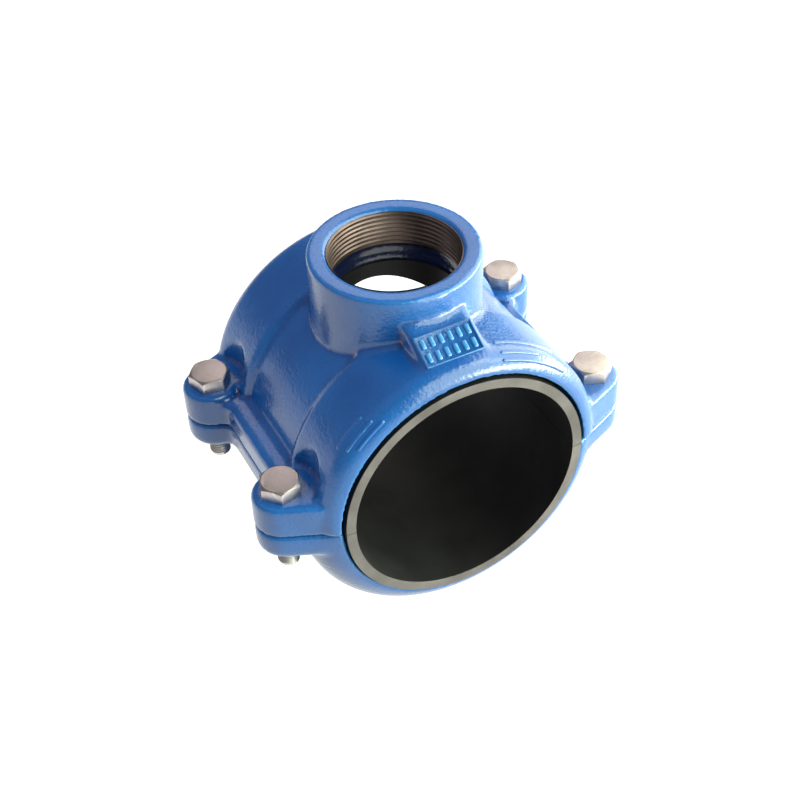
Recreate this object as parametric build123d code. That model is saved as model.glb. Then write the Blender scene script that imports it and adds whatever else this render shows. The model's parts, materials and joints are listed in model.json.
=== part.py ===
from build123d import *
from math import radians, sqrt, tan
import os

# Saddle tee for plastic pipe: an upper housing with a threaded outlet and a lower strap, each lined
# with half a rubber sleeve, drawn together on the pipe by four screws in tapped lugs.
# Frame: +X along the pipe, +Z up the outlet, origin where the two axes cross.

# Pipe and rubber lining
pipe_diameter = 110.0
liner_wall = 4.6
liner_length = 129.0
liner_end_stand = 0.5  # the rubber ends stand this far out of the castings
liner_seat_clearance = 0.1
parting_gap = 0.3  # between the two castings, and between the two rubbers

# Casting bands along the pipe
housing_wall = 10.3  # over the end bands
strap_wall = 14.3
waist_drop = 3.0  # from the bands of the housing to the waist, which the strap shares
band_width = 37.7
step_run = 2.5  # length of the slope from band to waist
step_round = 3.0
housing_end_round = 9.0
strap_end_round = 18.0
mouth_relief = 1.5  # the upper casting opens out round the rubber at both ends
mouth_relief_depth = 7.0

# Flange strips and lugs at the parting plane
flange_half_width = 77.0
flange_height = 13.5
flange_edge_round = 3.5
flange_inner_round = 4.0
screw_inset = 23.2  # from the ends of the castings
screw_y = 78.8
lug_radius = 13.2
lug_toe_inset = 8.0  # the lugs run into the end bands here
lug_toe_round = 6.0
strip_flare = 6.0
upper_lug_height = 17.0
upper_lug_round = 2.5
lower_lug_height = 14.5
lower_lug_round = 5.0
pocket_radius = 17.2

# Screws, M10 with a hexagon head
screw_diameter = 10.0
screw_length = 45.0
screw_point = 1.2
head_across_flats = 17.0
head_height = 6.4
head_crown = 0.95  # width of the flat top over the width across flats
head_crown_angle = 30.0
shank_hole_clearance = 0.6
thread_clearance = 0.05
head_seat_gap = 0.05

# Outlet neck, G 2 thread
neck_radius = 38.6
neck_top = 90.7
neck_fillet = 3.0
rim_round = 1.2
pad_top = 78.3  # a sloping pad leans on the front of the neck
pad_end = 57.0
pad_half_width = 15.5
pad_edge_round = 2.5
thread_major_diameter = 59.61
thread_length = 18.5
mouth_chamfer = 1.4
recess_radius = 31.5
recess_floor = 65.0
port_radius = 30.7
collar_top = 62.5  # the rubber stands up round the port inside the neck
collar_wall = 1.1

# Sizes that follow from the ones above
pipe_radius = pipe_diameter / 2
liner_radius = pipe_radius + liner_wall
bore_radius = liner_radius + liner_seat_clearance
casting_length = liner_length - 2 * liner_end_stand
half_length = casting_length / 2
housing_radius = bore_radius + housing_wall
strap_radius = bore_radius + strap_wall
waist_radius = housing_radius - waist_drop
pad_foot = (bore_radius + housing_radius) / 2  # the pad starts inside the wall of the saddle
step_place = half_length - band_width
thread_radius = thread_major_diameter / 2
screw_radius = screw_diameter / 2
screw_x = half_length - screw_inset
screw_tip = upper_lug_height + head_seat_gap - screw_length
screw_places = [(x, y) for x in (screw_x, -screw_x) for y in (-screw_y, screw_y)]


def slab(low_z, high_z):
    """A wide block between two heights, to cut the castings and rubbers at the parting plane."""
    size = 4 * (screw_y + lug_radius)
    return Pos(0, 0, (low_z + high_z) / 2) * Box(size, size, high_z - low_z)


def turned_bands(band_radius, end_round):
    """The two end bands and the lower waist between them, turned about the pipe axis."""
    with BuildPart() as body:
        with BuildSketch(Plane.XZ) as profile:
            with BuildLine():
                Polyline(
                    (-half_length, 0),
                    (-half_length, band_radius),
                    (-step_place, band_radius),
                    (step_run - step_place, waist_radius),
                    (step_place - step_run, waist_radius),
                    (step_place, band_radius),
                    (half_length, band_radius),
                    (half_length, 0),
                    close=True,
                )
            make_face()
            outer = profile.vertices().filter_by(lambda v: v.Y > pipe_radius)
            fillet(outer.filter_by(lambda v: abs(v.X) < half_length - 1), step_round)
            outer = profile.vertices().filter_by(lambda v: v.Y > pipe_radius)
            fillet(outer.filter_by(lambda v: abs(v.X) > half_length - 1), end_round)
        revolve(axis=Axis.X)
    return body.part


def waist_strip():
    """The waist and the root of the flange strips either side of it, between front and rear lugs."""
    touch = sqrt(waist_radius**2 - flange_height**2)
    reach = flange_half_width - flange_edge_round
    with BuildPart() as strip:
        with BuildSketch(Plane.YZ.offset(-screw_x)) as section:
            Circle(waist_radius)
            Rectangle(2 * reach, 2 * flange_height)
            inner = section.vertices().filter_by(lambda v: abs(abs(v.X) - touch) < 0.01)
            fillet(inner, min(flange_inner_round, 0.9 * (reach - touch)))
        extrude(amount=2 * screw_x)
    return strip.part


def lug_outline():
    """The four lugs in plan, each running in a straight line into the end band beside it."""
    with BuildSketch() as corner:
        with Locations((screw_x, screw_y)):
            Circle(lug_radius)
        with Locations((half_length - lug_toe_inset, housing_radius - lug_toe_inset)):
            Circle(lug_toe_round)
        make_hull()
    front = corner.sketch + mirror(corner.sketch, about=Plane.XZ)
    return front + mirror(front, about=Plane.YZ)


def flange_plate():
    """The strips along the parting plane and round the lugs, as thick above the plane as below."""
    with BuildPart() as plate:
        with BuildSketch() as plan:
            add(lug_outline())
            Rectangle(2 * screw_x, 2 * flange_half_width)
            inner = plan.vertices().filter_by(lambda v: abs(abs(v.Y) - flange_half_width) < 0.01)
            fillet(inner, strip_flare)
        extrude(amount=flange_height, both=True)
        rims = plate.edges().filter_by(lambda e: abs(abs(e.center().Z) - flange_height) < 0.01)
        fillet(rims, flange_edge_round)
    return plate.part


def lugs(height, edge_round):
    """Lugs standing on the parting plane, for the screw heads above or the threads below."""
    with BuildPart() as plate:
        add(lug_outline())
        extrude(amount=height)
        far_edges = plate.edges().group_by(Axis.Z)[-1 if height > 0 else 0]
        fillet(far_edges, edge_round)
    return plate.part


def neck():
    """The plain neck, reaching down into the saddle."""
    stem = Pos(0, 0, neck_top / 2) * Cylinder(neck_radius, neck_top)
    return fillet(stem.edges().group_by(Axis.Z)[-1], rim_round)


def front_pad():
    """A pad that leans on the front of the neck and slopes down to the front band."""
    with BuildPart() as pad:
        with BuildSketch(Plane.XZ.offset(-pad_half_width)):
            with BuildLine():
                Polyline(
                    (recess_radius + 1, pad_foot),
                    (recess_radius + 1, pad_top),
                    (neck_radius, pad_top),
                    (pad_end, housing_radius - 1),
                    (pad_end, pad_foot),
                    close=True,
                )
            make_face()
        extrude(amount=2 * pad_half_width)
        top_sides = pad.edges().filter_by(lambda e: abs(abs(e.center().Y) - pad_half_width) < 0.01)
        top_sides = top_sides.filter_by(lambda e: e.center().Z > housing_radius)
        fillet(top_sides.filter_by(lambda e: e.center().X > neck_radius), pad_edge_round)
    return pad.part


def root_edges(body):
    """The line where the neck stands on the saddle."""
    def on_neck(point):
        return abs(sqrt(point.X**2 + point.Y**2) - neck_radius) < 0.01

    curves = body.edges().filter_by(lambda e: on_neck(e @ 0) and on_neck(e @ 0.5))
    curves = curves.filter_by(lambda e: e.geom_type not in (GeomType.LINE, GeomType.CIRCLE))
    return curves.filter_by(lambda e: pipe_radius / 2 < (e @ 0.5).Z < housing_radius + 1)


def screw_bores(radius, low_z, high_z):
    """Four round cutters on the screw axes."""
    middle = (low_z + high_z) / 2
    return [Pos(x, y, middle) * Cylinder(radius, high_z - low_z) for x, y in screw_places]


def pipe_bores(radius, length):
    """One cutter along the pipe."""
    return Rot(0, 90, 0) * Cylinder(radius, length)


def outlet_bore():
    """The cutter for the outlet: chamfer, thread bore, recess and port."""
    thread_end = neck_top - thread_length
    with BuildPart() as cutter:
        with BuildSketch(Plane.XZ):
            with BuildLine():
                Polyline(
                    (0, 0),
                    (port_radius, 0),
                    (port_radius, recess_floor),
                    (recess_radius, recess_floor + recess_radius - port_radius),
                    (recess_radius, thread_end - recess_radius + thread_radius),
                    (thread_radius, thread_end),
                    (thread_radius, neck_top - mouth_chamfer),
                    (thread_radius + mouth_chamfer, neck_top),
                    (thread_radius + mouth_chamfer, neck_top + 1),
                    (0, neck_top + 1),
                    close=True,
                )
            make_face()
        revolve(axis=Axis.Z)
    return cutter.part


def upper_casting():
    """The housing: saddle, neck with its threaded outlet, and lugs with seats for the screw heads."""
    stemmed = turned_bands(housing_radius, housing_end_round) + neck()
    stemmed = fillet(root_edges(stemmed), neck_fillet)
    blank = stemmed + front_pad() + waist_strip() + flange_plate()
    blank = blank + lugs(upper_lug_height, upper_lug_round)
    casting = blank & slab(parting_gap / 2, neck_top + 1)
    casting = casting - pipe_bores(bore_radius, casting_length + 1)
    mouth_start = half_length - mouth_relief_depth
    for side in (1, -1):
        mouth = pipe_bores(bore_radius + mouth_relief, 2 * mouth_relief_depth)
        casting = casting - Pos(side * (mouth_start + mouth_relief_depth), 0, 0) * mouth
    casting = casting - screw_bores(pocket_radius, upper_lug_height, neck_top)
    casting = casting - screw_bores(screw_radius + shank_hole_clearance, 0, upper_lug_height + 1)
    return casting - outlet_bore()


def lower_casting():
    """The strap, with the threads for the screws in its lugs."""
    blank = turned_bands(strap_radius, strap_end_round) + waist_strip() + flange_plate()
    blank = blank + lugs(-lower_lug_height, lower_lug_round)
    casting = blank & slab(-strap_radius - 1, -parting_gap / 2)
    casting = casting - pipe_bores(bore_radius, casting_length + 1)
    bore_end = min(-lower_lug_height, screw_tip) - 1
    return casting - screw_bores(screw_radius + thread_clearance, bore_end, 0)


def liner_tube():
    """The rubber sleeve all round the pipe, before it is parted."""
    return pipe_bores(liner_radius, liner_length) - pipe_bores(pipe_radius, liner_length + 1)


def upper_rubber():
    """The upper half of the sleeve, with a collar standing up round the port."""
    collar_radius = port_radius - liner_seat_clearance
    collar = Pos(0, 0, collar_top / 2) * Cylinder(collar_radius, collar_top)
    collar = collar - pipe_bores((pipe_radius + liner_radius) / 2, liner_length)
    half = (liner_tube() + collar) & slab(parting_gap / 2, collar_top + 1)
    return half - Pos(0, 0, collar_top / 2) * Cylinder(collar_radius - collar_wall, collar_top + 1)


def lower_rubber():
    """The lower half of the sleeve."""
    return liner_tube() & slab(-liner_radius - 1, -parting_gap / 2)


def screw():
    """A hexagon-headed screw, seated under its head at the origin and pointing down."""
    corner_radius = head_across_flats / sqrt(3)
    crown_radius = head_crown * head_across_flats / 2
    crown_drop = (corner_radius - crown_radius) * tan(radians(head_crown_angle))
    with BuildPart() as crown:
        with BuildSketch(Plane.XZ):
            with BuildLine():
                Polyline(
                    (0, 0),
                    (corner_radius, 0),
                    (corner_radius, head_height - crown_drop),
                    (crown_radius, head_height),
                    (0, head_height),
                    close=True,
                )
            make_face()
        revolve(axis=Axis.Z)
    hexagon = extrude(RegularPolygon(head_across_flats / 2, 6, major_radius=False), head_height)
    shank = Pos(0, 0, -screw_length / 2) * Cylinder(screw_radius, screw_length)
    shank = chamfer(shank.edges().group_by(Axis.Z)[0], screw_point)
    return (hexagon & crown.part) + shank


def placed_screw(x, y, turn):
    """A screw on its lug, turned by so many degrees."""
    return Pos(x, y, upper_lug_height + head_seat_gap) * Rot(0, 0, turn) * screw()


parts = {
    "upper_housing": upper_casting(),
    "lower_strap": lower_casting(),
    "upper_liner": upper_rubber(),
    "lower_liner": lower_rubber(),
    "bolt_front_left": placed_screw(screw_x, -screw_y, 41.0),
    "bolt_rear_left": placed_screw(-screw_x, -screw_y, 20.0),
    "bolt_front_right": placed_screw(screw_x, screw_y, 8.0),
    "bolt_rear_right": placed_screw(-screw_x, screw_y, 50.0),
}

os.makedirs("parts", exist_ok=True)
for name, shape in parts.items():
    shape.label = name
    export_step(shape, "parts/" + name + ".step")
    print(name, round(shape.volume, 1), len(shape.solids()), shape.is_valid)
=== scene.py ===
import bpy
import json
import math
from mathutils import Matrix, Vector


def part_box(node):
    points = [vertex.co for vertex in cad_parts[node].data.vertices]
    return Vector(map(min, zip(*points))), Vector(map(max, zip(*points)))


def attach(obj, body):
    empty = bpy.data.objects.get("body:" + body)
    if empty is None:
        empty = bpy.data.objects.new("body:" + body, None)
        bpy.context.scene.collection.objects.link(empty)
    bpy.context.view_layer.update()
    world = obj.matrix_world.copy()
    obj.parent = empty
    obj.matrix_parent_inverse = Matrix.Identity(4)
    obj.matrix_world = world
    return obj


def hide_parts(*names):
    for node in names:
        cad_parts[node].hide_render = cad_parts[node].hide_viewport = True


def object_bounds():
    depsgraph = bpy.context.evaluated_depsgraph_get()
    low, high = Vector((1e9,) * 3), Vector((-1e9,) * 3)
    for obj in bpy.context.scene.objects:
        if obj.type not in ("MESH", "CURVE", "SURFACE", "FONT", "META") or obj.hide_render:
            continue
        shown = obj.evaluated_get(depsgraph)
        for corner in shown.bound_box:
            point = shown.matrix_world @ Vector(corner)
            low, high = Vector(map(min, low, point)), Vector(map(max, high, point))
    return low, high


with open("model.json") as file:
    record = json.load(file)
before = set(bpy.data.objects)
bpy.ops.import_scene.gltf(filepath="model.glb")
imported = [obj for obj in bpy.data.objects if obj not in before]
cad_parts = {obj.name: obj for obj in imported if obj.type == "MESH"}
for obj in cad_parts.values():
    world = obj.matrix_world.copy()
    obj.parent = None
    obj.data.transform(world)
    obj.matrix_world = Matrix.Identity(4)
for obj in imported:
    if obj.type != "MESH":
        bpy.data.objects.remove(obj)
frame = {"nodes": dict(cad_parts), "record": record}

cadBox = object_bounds()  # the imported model's box, before anything is dressed
mm = 0.001


# helpers for selecting, shaping and placing

def deselectAll():
    if bpy.context.object and bpy.context.object.mode != "OBJECT":
        bpy.ops.object.mode_set(mode="OBJECT")
    bpy.ops.object.select_all(action="DESELECT")


def makeActive(piece):
    deselectAll()
    piece.select_set(True)
    bpy.context.view_layer.objects.active = piece
    return piece


def settle(piece):
    # leaves the object at the origin with its place in its mesh
    makeActive(piece)
    bpy.ops.object.transform_apply(location=True, rotation=True, scale=True)
    return piece


def applyModifier(piece, kind, **settings):
    makeActive(piece)
    modifier = piece.modifiers.new(kind.title(), kind)
    for name, value in settings.items():
        setattr(modifier, name, value)
    bpy.ops.object.modifier_apply(modifier=modifier.name)
    return piece


def mergeDoubles(piece, gap=0.004 * mm):
    makeActive(piece)
    bpy.ops.object.mode_set(mode="EDIT")
    bpy.ops.mesh.select_all(action="SELECT")
    bpy.ops.mesh.remove_doubles(threshold=gap)
    bpy.ops.object.mode_set(mode="OBJECT")
    return piece


def faceOutwards(piece):
    makeActive(piece)
    bpy.ops.object.mode_set(mode="EDIT")
    bpy.ops.mesh.select_all(action="SELECT")
    bpy.ops.mesh.normals_make_consistent(inside=False)
    bpy.ops.object.mode_set(mode="OBJECT")
    return piece


def joinAll(pieces, name):
    makeActive(pieces[0])
    for piece in pieces[1:]:
        piece.select_set(True)
    bpy.ops.object.join()
    pieces[0].name = name
    return pieces[0]


def smoothByAngle(piece, degrees):
    makeActive(piece)
    bpy.ops.object.shade_smooth_by_angle(angle=math.radians(degrees))
    return piece


def paint(piece, material):
    piece.data.materials.clear()
    piece.data.materials.append(material)
    return piece


def copyOfNode(nodeName, name):
    # the CAD node's mesh, welded from loose triangles, as an object of its own
    source = frame["nodes"][nodeName]
    piece = bpy.data.objects.new(name, source.data.copy())
    bpy.context.scene.collection.objects.link(piece)
    return mergeDoubles(piece)


def cutBelow(piece, height):
    # keeps what stands above the height, and closes the cut
    makeActive(piece)
    bpy.ops.object.mode_set(mode="EDIT")
    bpy.ops.mesh.select_all(action="SELECT")
    bpy.ops.mesh.bisect(plane_co=(0, 0, height), plane_no=(0, 0, 1), use_fill=True, clear_inner=True)
    bpy.ops.object.mode_set(mode="OBJECT")
    return piece


def selectFaces(piece, wanted):
    # leaves edit mode on, with only the wanted faces selected
    makeActive(piece)
    bpy.ops.object.mode_set(mode="EDIT")
    bpy.ops.mesh.select_mode(type="FACE")
    bpy.ops.mesh.select_all(action="DESELECT")
    bpy.ops.object.mode_set(mode="OBJECT")
    for face in piece.data.polygons:
        face.select = wanted(face)
    bpy.ops.object.mode_set(mode="EDIT")
    return piece


def shiftMesh(piece, offset):
    makeActive(piece)
    bpy.ops.object.mode_set(mode="EDIT")
    bpy.ops.mesh.select_all(action="SELECT")
    bpy.ops.transform.translate(value=offset)
    bpy.ops.object.mode_set(mode="OBJECT")
    return piece


def dress(piece, slot, body, material=None):
    paint(piece, material or finishes[slot])
    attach(piece, body)
    return piece


rootGap = 0.06  # flat left at the root on each side of a thread ridge, as a share of its pitch


def threadRidge(name, root, crest, pitch, low, turns, steps):
    # one V ridge wound up the Z axis, its open ends capped
    deselectAll()
    bpy.ops.mesh.primitive_circle_add(vertices=3, radius=pitch)
    ridge = bpy.context.object
    ridge.name = name
    corners = ((crest, 0.5), (root, rootGap), (root, 1 - rootGap))
    for vertex, (radius, share) in zip(ridge.data.vertices, corners):
        vertex.co = (radius, 0, low + share * pitch)
    applyModifier(
        ridge, "SCREW", screw_offset=pitch, iterations=turns,
        steps=steps, render_steps=steps, use_smooth_shade=False)
    makeActive(ridge)
    bpy.ops.object.mode_set(mode="EDIT")
    bpy.ops.mesh.select_all(action="SELECT")
    bpy.ops.mesh.fill_holes(sides=4)
    bpy.ops.object.mode_set(mode="OBJECT")
    return faceOutwards(ridge)


# finishes

def addNode(tree, kind, inputs=None, **settings):
    node = tree.nodes.new(kind)
    for name, value in settings.items():
        setattr(node, name, value)
    setSockets(tree, node, inputs or {})
    return node


def setSockets(tree, node, inputs):
    for socket, value in inputs.items():
        if isinstance(value, bpy.types.NodeSocket):
            tree.links.new(value, node.inputs[socket])
        else:
            node.inputs[socket].default_value = value


def newMaterial(name):
    material = bpy.data.materials.new(name)
    material.use_nodes = True
    tree = material.node_tree
    tree.nodes.clear()
    out = tree.nodes.new("ShaderNodeOutputMaterial")
    shader = tree.nodes.new("ShaderNodeBsdfPrincipled")
    tree.links.new(shader.outputs[0], out.inputs[0])
    place = tree.nodes.new("ShaderNodeTexCoord").outputs["Object"]
    return material, tree, shader, place


def newGroup(name, inputs, outputs):
    group = bpy.data.node_groups.new(name, "ShaderNodeTree")
    for socketName, kind in inputs:
        group.interface.new_socket(name=socketName, in_out="INPUT", socket_type="NodeSocket" + kind)
    for socketName, kind in outputs:
        group.interface.new_socket(name=socketName, in_out="OUTPUT", socket_type="NodeSocket" + kind)
    return group, group.nodes.new("NodeGroupInput"), group.nodes.new("NodeGroupOutput")


def makeMottle():
    # two tones of one colour in soft clouds, and the clouds as a mask
    group, given, result = newGroup(
        "mottle",
        [("Vector", "Vector"), ("Scale", "Float"), ("Detail", "Float"),
         ("Dark", "Color"), ("Light", "Color")],
        [("Colour", "Color"), ("Mask", "Float")])
    clouds = addNode(group, "ShaderNodeTexNoise", {
        "Vector": given.outputs["Vector"],
        "Scale": given.outputs["Scale"],
        "Detail": given.outputs["Detail"],
    })
    mask = addNode(group, "ShaderNodeMapRange", {
        "Value": clouds.outputs[0], "From Min": 0.32, "From Max": 0.68})
    tone = addNode(group, "ShaderNodeMix", {
        "Factor": mask.outputs[0],
        "A": given.outputs["Dark"],
        "B": given.outputs["Light"],
    }, data_type="RGBA")
    setSockets(group, result, {"Colour": tone.outputs[2], "Mask": mask.outputs[0]})
    return group


def makeRelief():
    # orange peel or grain: a fine ripple on a broad one
    group, given, result = newGroup(
        "relief",
        [("Vector", "Vector"), ("Fine", "Float"), ("Broad", "Float"),
         ("Share", "Float"), ("Depth", "Float")],
        [("Normal", "Vector")])
    fine = addNode(group, "ShaderNodeTexNoise", {
        "Vector": given.outputs["Vector"], "Scale": given.outputs["Fine"], "Detail": 1.5})
    broad = addNode(group, "ShaderNodeTexNoise", {
        "Vector": given.outputs["Vector"], "Scale": given.outputs["Broad"], "Detail": 2})
    height = addNode(group, "ShaderNodeMath", {
        0: broad.outputs[0], 1: given.outputs["Share"], 2: fine.outputs[0]}, operation="MULTIPLY_ADD")
    bump = addNode(group, "ShaderNodeBump", {
        "Distance": given.outputs["Depth"], "Height": height.outputs[0]})
    setSockets(group, result, {"Normal": bump.outputs[0]})
    return group


def makeEdgeMask():
    # one mask for convex edges, where a painted highlight is mixed in, and one for creases, where
    # painted shade is mixed in
    group, given, result = newGroup(
        "edgeMask",
        [("Low", "Float"), ("High", "Float"), ("Hollow", "Float")],
        [("Edge", "Float"), ("Crease", "Float")])
    shape = addNode(group, "ShaderNodeNewGeometry")
    edge = addNode(group, "ShaderNodeMapRange", {
        "Value": shape.outputs["Pointiness"],
        "From Min": given.outputs["Low"],
        "From Max": given.outputs["High"],
    })
    crease = addNode(group, "ShaderNodeMapRange", {
        "Value": shape.outputs["Pointiness"],
        "From Min": 0.495,  # a flat face is 0.5
        "From Max": given.outputs["Hollow"],
    })
    setSockets(group, result, {"Edge": edge.outputs[0], "Crease": crease.outputs[0]})
    return group


mottle, relief, edgeMask = makeMottle(), makeRelief(), makeEdgeMask()


def addGroup(tree, group, inputs):
    node = tree.nodes.new("ShaderNodeGroup")
    node.node_tree = group
    setSockets(tree, node, inputs)
    return node


# painted shade: the coat is painted dark inside the outlet, within this reach of its axis and under this
# height
mouthShade = {"reach": 32.3 * mm, "top": 86 * mm, "colour": (0.004, 0.009, 0.045, 1)}
edgeHighlight = (0.03, 0.22, 0.55, 1)  # painted highlight on the sharpest edges


def epoxyCoat(name, dark, light, crease, gloss):
    material, tree, shader, place = newMaterial(name)
    clouds = addGroup(tree, mottle, {
        "Vector": place, "Scale": 24, "Detail": 3, "Dark": dark, "Light": light})
    shape = addGroup(tree, edgeMask, {"Low": 0.52, "High": 0.60, "Hollow": 0.455})
    # painted highlight: the convex edges are mixed towards a lighter blue
    highlightedEdge = addNode(tree, "ShaderNodeMix", {
        "Factor": shape.outputs["Edge"], "A": clouds.outputs["Colour"], "B": edgeHighlight}, data_type="RGBA")
    # painted shade: the creases are mixed towards the darker crease colour
    colour = addNode(tree, "ShaderNodeMix", {
        "Factor": shape.outputs["Crease"], "A": highlightedEdge.outputs[2], "B": crease}, data_type="RGBA")
    # painted shade: near the outlet's axis and under its top the coat is mixed to a dark colour
    flat = addNode(tree, "ShaderNodeVectorMath", {0: place, 1: (1, 1, 0)}, operation="MULTIPLY")
    reach = addNode(tree, "ShaderNodeVectorMath", {0: flat.outputs[0]}, operation="LENGTH")
    inMouth = addNode(tree, "ShaderNodeMath", {
        0: reach.outputs["Value"], 1: mouthShade["reach"]}, operation="LESS_THAN")
    height = addNode(tree, "ShaderNodeSeparateXYZ", {0: place})
    below = addNode(tree, "ShaderNodeMath", {
        0: height.outputs[2], 1: mouthShade["top"]}, operation="LESS_THAN")
    inside = addNode(tree, "ShaderNodeMath", {
        0: inMouth.outputs[0], 1: below.outputs[0]}, operation="MULTIPLY")
    colour = addNode(tree, "ShaderNodeMix", {
        "Factor": inside.outputs[0], "A": colour.outputs[2], "B": mouthShade["colour"]}, data_type="RGBA")
    peel = addGroup(tree, relief, {
        "Vector": place, "Fine": 620, "Broad": 90, "Share": 1.3, "Depth": 0.22 * mm})
    rough = addNode(tree, "ShaderNodeMapRange", {
        "Value": clouds.outputs["Mask"], "To Min": 0.22, "To Max": 0.32})
    setSockets(tree, shader, {
        "Base Color": colour.outputs[2],
        "Roughness": rough.outputs[0],
        "Specular IOR Level": 0.6,
        "Coat Weight": gloss,
        "Coat Roughness": 0.12,
        "Normal": peel.outputs["Normal"],
    })
    return material


rubberCutFrom = 64.3 * mm  # the cut end faces lie beyond this, along the pipe


def blackRubber():
    material, tree, shader, place = newMaterial("blackRubber")
    split = addNode(tree, "ShaderNodeSeparateXYZ", {0: place})
    along = addNode(tree, "ShaderNodeMath", {0: split.outputs[0]}, operation="ABSOLUTE")
    endFace = addNode(tree, "ShaderNodeMath", {
        0: along.outputs[0], 1: rubberCutFrom}, operation="GREATER_THAN")
    dark = addGroup(tree, mottle, {
        "Vector": place, "Scale": 60, "Detail": 4,
        "Dark": (0.003, 0.003, 0.004, 1), "Light": (0.008, 0.008, 0.009, 1)})
    cut = addGroup(tree, mottle, {
        "Vector": place, "Scale": 45, "Detail": 4,
        "Dark": (0.07, 0.061, 0.064, 1), "Light": (0.15, 0.134, 0.138, 1)})
    colour = addNode(tree, "ShaderNodeMix", {
        "Factor": endFace.outputs[0],
        "A": dark.outputs["Colour"],
        "B": cut.outputs["Colour"],
    }, data_type="RGBA")
    grain = addGroup(tree, relief, {
        "Vector": place, "Fine": 900, "Broad": 260, "Share": 0.6, "Depth": 0.08 * mm})
    setSockets(tree, shader, {
        "Base Color": colour.outputs[2],
        "Roughness": 0.58,
        "Specular IOR Level": 0.35,
        "Normal": grain.outputs["Normal"],
    })
    return material


def turnedIron():
    material, tree, shader, place = newMaterial("turnedIron")
    stain = addGroup(tree, mottle, {
        "Vector": place, "Scale": 40, "Detail": 5,
        "Dark": (0.05, 0.033, 0.029, 1), "Light": (0.21, 0.155, 0.145, 1)})
    rough = addNode(tree, "ShaderNodeMapRange", {
        "Value": stain.outputs["Mask"], "To Min": 0.46, "To Max": 0.36})
    setSockets(tree, shader, {
        "Base Color": stain.outputs["Colour"],
        "Metallic": 0.85,
        "Roughness": rough.outputs[0],
    })
    return material


def zincSteel():
    material, tree, shader, place = newMaterial("zincSteel")
    clouds = addGroup(tree, mottle, {
        "Vector": place, "Scale": 190, "Detail": 4,
        "Dark": (0.46, 0.40, 0.40, 1), "Light": (0.60, 0.535, 0.54, 1)})
    shape = addGroup(tree, edgeMask, {"Low": 0.53, "High": 0.66, "Hollow": 0.4})
    # painted highlight: the convex edges of the zinc are mixed lighter
    colour = addNode(tree, "ShaderNodeMix", {
        "Factor": shape.outputs["Edge"],
        "A": clouds.outputs["Colour"],
        "B": (0.72, 0.69, 0.66, 1),
    }, data_type="RGBA")
    rough = addNode(tree, "ShaderNodeMapRange", {
        "Value": clouds.outputs["Mask"], "To Min": 0.34, "To Max": 0.46})
    grain = addGroup(tree, relief, {
        "Vector": place, "Fine": 1400, "Broad": 300, "Share": 1.0, "Depth": 0.06 * mm})
    setSockets(tree, shader, {
        "Base Color": colour.outputs[2],
        "Metallic": 1.0,
        "Roughness": rough.outputs[0],
        "Normal": grain.outputs["Normal"],
    })
    return material


finishes = {
    # the third colour is painted shade for the creases
    "coated_iron": epoxyCoat(
        "blueEpoxy", (0.003, 0.068, 0.28, 1), (0.006, 0.11, 0.39, 1), (0.003, 0.018, 0.12, 1), 0.4),
    "rubber": blackRubber(),
    "zinc_steel": zincSteel(),
}
bareIron = turnedIron()
# painted shade and painted highlight: the sunk panel ground is a darker copy of the coat, the bars a
# lighter one
shadedPanelGround = epoxyCoat(
    "shadedPanelGround", (0.004, 0.07, 0.26, 1), (0.006, 0.09, 0.32, 1), (0.004, 0.075, 0.28, 1), 0.1)
highlightedPanelBar = epoxyCoat(
    "highlightedPanelBar", (0.03, 0.19, 0.44, 1), (0.06, 0.26, 0.52, 1), (0.02, 0.14, 0.38, 1), 0.5)
print("finishes made")

castingSizes = {"voxel": 1.1 * mm, "softening": 3, "padSoftening": 16}
padZone = {"nearX": 37.5 * mm, "halfWidth": 19 * mm, "lowZ": 66 * mm}


def onPad(point):
    inWidth = abs(point.y) < padZone["halfWidth"]
    return point.x > padZone["nearX"] and inWidth and point.z > padZone["lowZ"]


def softCasting(nodeName, name, body):
    # the casting as it looks under a thick coat, with every edge softened
    casting = copyOfNode(nodeName, name)
    applyModifier(casting, "REMESH", mode="VOXEL", voxel_size=castingSizes["voxel"])
    applyModifier(casting, "SMOOTH", factor=0.5, iterations=castingSizes["softening"])
    pad = casting.vertex_groups.new(name="pad")
    pad.add([vertex.index for vertex in casting.data.vertices if onPad(vertex.co)], 1, "REPLACE")
    applyModifier(
        casting, "SMOOTH", factor=0.5, iterations=castingSizes["padSoftening"], vertex_group="pad")
    makeActive(casting)
    bpy.ops.object.shade_smooth()
    dress(casting, "coated_iron", body)
    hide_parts(nodeName)
    print(name, len(casting.data.polygons), "faces")


softCasting("upper_housing", "upperCasting", "housing")
softCasting("lower_strap", "lowerCasting", "strap")

outletMount = next(mount for mount in frame["record"]["mounts"] if mount["name"] == "outlet_thread")
outletBore = outletMount["dims"]["r_mm"] * mm
outletHeight = outletMount["dims"]["length_mm"] * mm
threadLow = outletMount["pos_m"][2] - outletHeight / 2
outletSizes = {
    "pitch": 2.309 * mm,
    "ridge": 0.6 * mm,
    "lining": 0.12 * mm,
    "wall": 0.6 * mm,
    "turns": 7,
    "steps": 96,
    "sides": 128,
}


def outletThread():
    # turned iron: a thin lining of the bore with the thread standing in from it
    deselectAll()
    bpy.ops.mesh.primitive_cylinder_add(
        vertices=outletSizes["sides"], radius=outletBore - outletSizes["lining"], depth=outletHeight,
        end_fill_type="NOTHING", location=(0, 0, threadLow + outletHeight / 2))
    lining = settle(bpy.context.object)
    applyModifier(lining, "SOLIDIFY", thickness=outletSizes["wall"], offset=1)
    faceOutwards(lining)
    ridge = threadRidge(
        "outletRidge", outletBore + outletSizes["lining"], outletBore - outletSizes["ridge"],
        outletSizes["pitch"], threadLow, outletSizes["turns"], outletSizes["steps"])
    thread = smoothByAngle(joinAll([lining, ridge], "outletThread"), 40)
    dress(thread, "coated_iron", "housing", bareIron)


outletThread()
print("outlet thread made")

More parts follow.
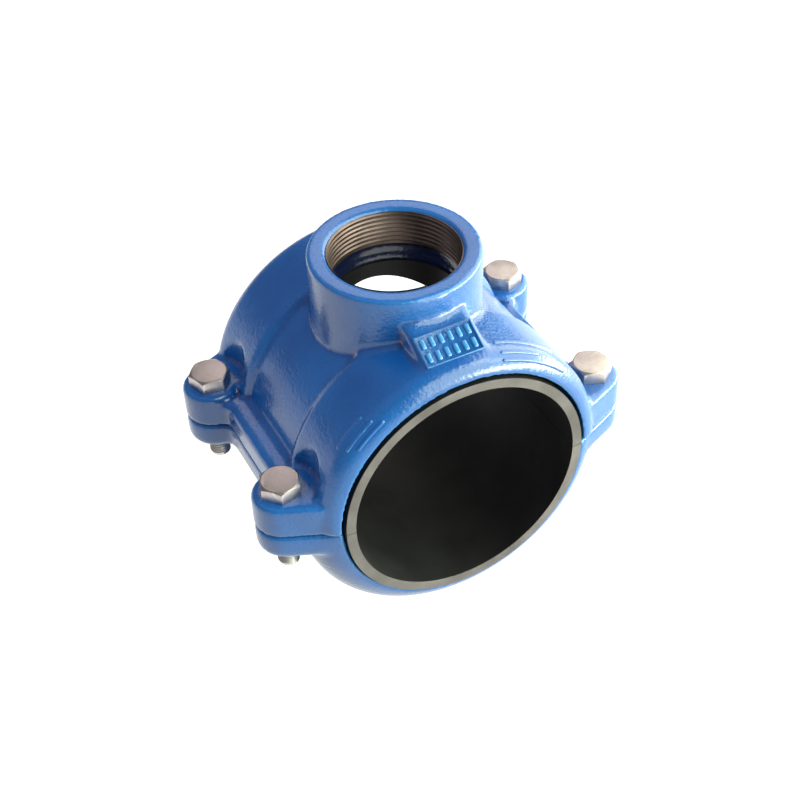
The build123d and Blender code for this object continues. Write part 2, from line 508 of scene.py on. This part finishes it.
boltNodes = {
    "bolt_front_left": "screw_front_left",
    "bolt_rear_left": "screw_rear_left",
    "bolt_front_right": "screw_front_right",
    "bolt_rear_right": "screw_rear_right",
}
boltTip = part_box("bolt_front_left")[0].z
boltSizes = {
    "shank": 5.0 * mm,
    "core": 4.25 * mm,
    "pitch": 1.5 * mm,
    "cut": -12.0 * mm,  # the plain shank ends and the thread begins at this height
    "point": 1.0 * mm,
    "edge": 0.3 * mm,
    "rootSink": 0.1 * mm,  # of the ridge into the core
    "crestGap": 0.03 * mm,  # inside the CAD shank
    "sides": 40,
}


def threadedEnd():
    # the length of M10 thread that shows under a lug, on the Z axis
    height = boltSizes["cut"] - boltTip
    deselectAll()
    bpy.ops.mesh.primitive_cylinder_add(
        vertices=boltSizes["sides"], radius=boltSizes["core"], depth=height - boltSizes["point"],
        location=(0, 0, boltTip + (height + boltSizes["point"]) / 2))
    core = settle(bpy.context.object)
    selectFaces(core, lambda face: face.normal.z < -0.9)
    bpy.ops.mesh.inset(thickness=boltSizes["point"])
    bpy.ops.transform.translate(value=(0, 0, -boltSizes["point"]))
    bpy.ops.object.mode_set(mode="OBJECT")
    turns = int((height - boltSizes["point"]) / boltSizes["pitch"])
    root = boltSizes["core"] - boltSizes["rootSink"]
    crest = boltSizes["shank"] - boltSizes["crestGap"]
    ridge = threadRidge(
        "boltRidge", root, crest, boltSizes["pitch"],
        boltTip + boltSizes["point"], turns, boltSizes["sides"])
    return joinAll([core, ridge], "threadedEnd")


def axisOf(nodeName):
    # the screw's axis, from the ring of points at its tip
    points = [vertex.co for vertex in frame["nodes"][nodeName].data.vertices]
    low = min(point.z for point in points)
    tip = [point for point in points if point.z < low + 0.01 * mm]
    spanX = [point.x for point in tip]
    spanY = [point.y for point in tip]
    return ((min(spanX) + max(spanX)) / 2, (min(spanY) + max(spanY)) / 2, 0)


def threadedBolts():
    # the heads and plain shanks follow the CAD screws, the threaded end is copied to each
    end = threadedEnd()
    for nodeName, body in boltNodes.items():
        head = cutBelow(copyOfNode(nodeName, "head"), boltSizes["cut"])
        applyModifier(
            head, "BEVEL", width=boltSizes["edge"], segments=2,
            limit_method="ANGLE", angle_limit=math.radians(25))
        tip = end.copy()
        tip.data = end.data.copy()
        bpy.context.scene.collection.objects.link(tip)
        shiftMesh(tip, axisOf(nodeName))
        bolt = joinAll([head, tip], nodeName.replace("bolt", "screw") + "Zinc")
        smoothByAngle(bolt, 35)
        dress(bolt, "zinc_steel", body)
        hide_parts(nodeName)
    bpy.data.objects.remove(end)


threadedBolts()
print("screws made")

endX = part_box("upper_housing")[1].x
bandRadius = 70.0 * mm  # of the housing's end bands
endRound = 9.0 * mm  # at their outer ends
ribSizes = {"radius": 1.0 * mm, "sink": 0.38 * mm, "sides": 10, "step": 2.0}
ribPlan = {
    "ribLeftRear": {"fromEnd": 10.5 * mm, "start": 129, "end": 144},
    "ribLeftMiddle": {"fromEnd": 5.5 * mm, "start": 127, "end": 142},
    "ribLeftFront": {"fromEnd": 2.6 * mm, "start": 124, "end": 139},
    "ribRightRear": {"fromEnd": 12.0 * mm, "start": 44, "end": 74},
    "ribRightMiddle": {"fromEnd": 5.5 * mm, "start": 56, "end": 74},
    "ribRightFront": {"fromEnd": 2.6 * mm, "start": 42, "end": 74},
}


def coatRadius(fromEnd):
    # how far the front band's surface stands from the pipe axis
    reach = max(0, endRound - fromEnd)
    return bandRadius - endRound + math.sqrt(endRound ** 2 - reach ** 2)


def castRib(name, plan):
    # a small round rib that follows the band round the pipe axis
    radius = coatRadius(plan["fromEnd"]) - ribSizes["sink"]
    start = math.radians(plan["start"])
    sweep = math.radians(plan["end"] - plan["start"])
    place = (endX - plan["fromEnd"], radius * math.cos(start), radius * math.sin(start))
    deselectAll()
    bpy.ops.mesh.primitive_circle_add(
        vertices=ribSizes["sides"], radius=ribSizes["radius"], fill_type="NGON",
        location=place, rotation=(start + math.pi, 0, 0))
    rib = settle(bpy.context.object)
    rib.name = name
    makeActive(rib)
    bpy.ops.object.mode_set(mode="EDIT")
    bpy.ops.mesh.select_all(action="SELECT")
    steps = max(3, round(math.degrees(sweep) / ribSizes["step"]))
    bpy.ops.mesh.spin(steps=steps, angle=-sweep, center=(0, 0, 0), axis=(1, 0, 0))
    bpy.ops.object.mode_set(mode="OBJECT")
    mergeDoubles(rib)
    faceOutwards(rib)
    applyModifier(rib, "SUBSURF", levels=2, render_levels=2)
    makeActive(rib)
    bpy.ops.object.shade_smooth()
    dress(rib, "coated_iron", "housing")


for name, plan in ribPlan.items():
    castRib(name, plan)
print("ribs made")

panelSizes = {
    "centre": (49.6 * mm, -0.6 * mm, 72.95 * mm),
    "slope": 26.8,
    "length": 15.0 * mm,
    "width": 27.5 * mm,
    "thickness": 1.6 * mm,
    "rim": 0.9 * mm,
    "recess": 0.7 * mm,
    "rows": 2,
    "columns": 6,
    "bar": (4.8 * mm, 2.2 * mm, 1.6 * mm),
    "barLift": 0.1 * mm,  # from the sunk floor to the middle of a bar
    "plateRound": 0.3 * mm,
    "barRound": 0.7 * mm,
}


def plainPanel():
    # a sunk panel on the pad, with two rows of plain bars
    deselectAll()
    bpy.ops.mesh.primitive_cube_add(size=1)
    plate = bpy.context.object
    plate.scale = (panelSizes["length"], panelSizes["width"], panelSizes["thickness"])
    settle(plate)
    selectFaces(plate, lambda face: face.normal.z > 0.9)
    bpy.ops.mesh.inset(thickness=panelSizes["rim"])
    bpy.ops.mesh.extrude_region_move(TRANSFORM_OT_translate={"value": (0, 0, -panelSizes["recess"])})
    bpy.ops.object.mode_set(mode="OBJECT")
    applyModifier(plate, "BEVEL", width=panelSizes["plateRound"], segments=3)
    floorHeight = panelSizes["thickness"] / 2 - panelSizes["recess"]
    rowStep = (panelSizes["length"] - 2 * panelSizes["rim"]) / panelSizes["rows"]
    columnStep = (panelSizes["width"] - 2 * panelSizes["rim"]) / panelSizes["columns"]
    bars = []
    for row in range(panelSizes["rows"]):
        for column in range(panelSizes["columns"]):
            deselectAll()
            bpy.ops.mesh.primitive_cube_add(size=1, location=(
                (row - (panelSizes["rows"] - 1) / 2) * rowStep,
                (column - (panelSizes["columns"] - 1) / 2) * columnStep,
                floorHeight + panelSizes["barLift"]))
            bar = bpy.context.object
            bar.scale = panelSizes["bar"]
            settle(bar)
            bars.append(applyModifier(bar, "BEVEL", width=panelSizes["barRound"], segments=4))
    plate.name = "panelPlate"
    for piece, material in ((plate, shadedPanelGround), (joinAll(bars, "panelBars"), highlightedPanelBar)):
        piece.rotation_euler = (0, math.radians(panelSizes["slope"]), 0)
        piece.location = panelSizes["centre"]
        settle(piece)
        smoothByAngle(piece, 40)
        dress(piece, "coated_iron", "housing", material)


plainPanel()
print("panel made")

for nodeName in ("upper_liner", "lower_liner"):
    paint(frame["nodes"][nodeName], finishes["rubber"])
print("rubbers painted")


# floor, light and camera

floorPlan = {
    "size": 40.0,
    "drop": 27.5 * mm,  # clear of the strap at the end of its travel
    "glow": 0.87,
    "tone": (0.3, 0.3, 0.3, 1),
}
deselectAll()
bpy.ops.mesh.primitive_plane_add(
    size=floorPlan["size"], location=(0, 0, cadBox[0].z - floorPlan["drop"]))
floor = settle(bpy.context.object)
floor.name = "studioFloor"
floorMaterial, floorTree, floorShader = newMaterial("studioFloor")[:3]
rays = addNode(floorTree, "ShaderNodeLightPath").outputs
seen = addNode(floorTree, "ShaderNodeMath", {
    0: rays["Is Camera Ray"], 1: rays["Is Glossy Ray"]}, operation="ADD")
seen = addNode(floorTree, "ShaderNodeMath", {
    0: seen.outputs[0], 1: rays["Is Transmission Ray"]}, operation="ADD")
glow = addNode(floorTree, "ShaderNodeMath", {
    0: seen.outputs[0], 1: floorPlan["glow"]}, operation="MULTIPLY")
setSockets(floorTree, floorShader, {
    "Base Color": floorPlan["tone"],
    "Roughness": 0.9,
    "Emission Color": (1, 1, 1, 1),
    "Emission Strength": glow.outputs[0],  # the rest of its white is lamplight, so the shadow stays
})
paint(floor, floorMaterial)

skyGlow = 0.22
world = bpy.data.worlds.new("studio")
bpy.context.scene.world = world
world.use_nodes = True
sky = world.node_tree.nodes["Background"]
sky.inputs[0].default_value = (1.0, 1.0, 1.0, 1)
sky.inputs[1].default_value = skyGlow

# turn and rise in degrees as seen from the part, away and size in metres
lamps = {
    "softFront": {
        "turn": 26, "rise": 24, "away": 1.0,
        "wide": 0.95, "tall": 1.35, "power": 18, "colour": (0.9, 1.0, 0.78)},
    "softRight": {
        "turn": 90, "rise": 24, "away": 1.0,
        "wide": 1.45, "tall": 1.35, "power": 24, "colour": (0.97, 1.0, 0.8)},
    "softRear": {
        "turn": 156, "rise": 42, "away": 1.1,
        "wide": 0.5, "tall": 0.45, "power": 1.2, "colour": (1.0, 0.9, 0.84)},
    "lowRight": {
        "turn": 60, "rise": 3, "away": 0.6,
        "wide": 0.9, "tall": 0.18, "power": 8, "colour": (0.92, 1.0, 0.8)},
    "fillLeft": {
        "turn": -110, "rise": 55, "away": 1.2,
        "wide": 0.9, "tall": 0.9, "power": 7, "colour": (0.86, 0.94, 1.0)},
}


def towards(turn, rise):
    # a direction from the part, from degrees round it and degrees up
    turn, rise = math.radians(turn), math.radians(rise)
    return Vector((math.cos(turn) * math.cos(rise), math.sin(turn) * math.cos(rise), math.sin(rise)))


for name, lamp in lamps.items():
    light = bpy.data.lights.new(name, "AREA")
    light.shape = "RECTANGLE"
    light.size = lamp["wide"]
    light.size_y = lamp["tall"]
    light.energy = lamp["power"]
    light.color = lamp["colour"]
    holder = bpy.data.objects.new(name, light)
    bpy.context.scene.collection.objects.link(holder)
    toLamp = towards(lamp["turn"], lamp["rise"])
    holder.location = toLamp * lamp["away"]
    holder.rotation_euler = toLamp.to_track_quat("Z", "Y").to_euler()
    holder.visible_glossy = name != "fillLeft"

view = {
    "at": (468.03 * mm, -225.33 * mm, 466.17 * mm),
    "turn": -25.667,  # degrees round the part that the camera looks back from
    "rise": 41.756,
    "roll": -2.465,
    "lens": 66.23,
}
cameraData = bpy.data.cameras.new("camera")
cameraData.lens = view["lens"]
cameraData.sensor_width = 36
camera = bpy.data.objects.new("camera", cameraData)
bpy.context.scene.collection.objects.link(camera)
lookBack = towards(view["turn"], view["rise"]).to_track_quat("Z", "Y").to_matrix().to_4x4()
tilt = Matrix.Rotation(math.radians(view["roll"]), 4, "Z")
camera.matrix_world = Matrix.Translation(view["at"]) @ lookBack @ tilt
bpy.context.scene.camera = camera
bpy.context.scene.view_settings.view_transform = "Standard"
print("floor, lamps and camera set")
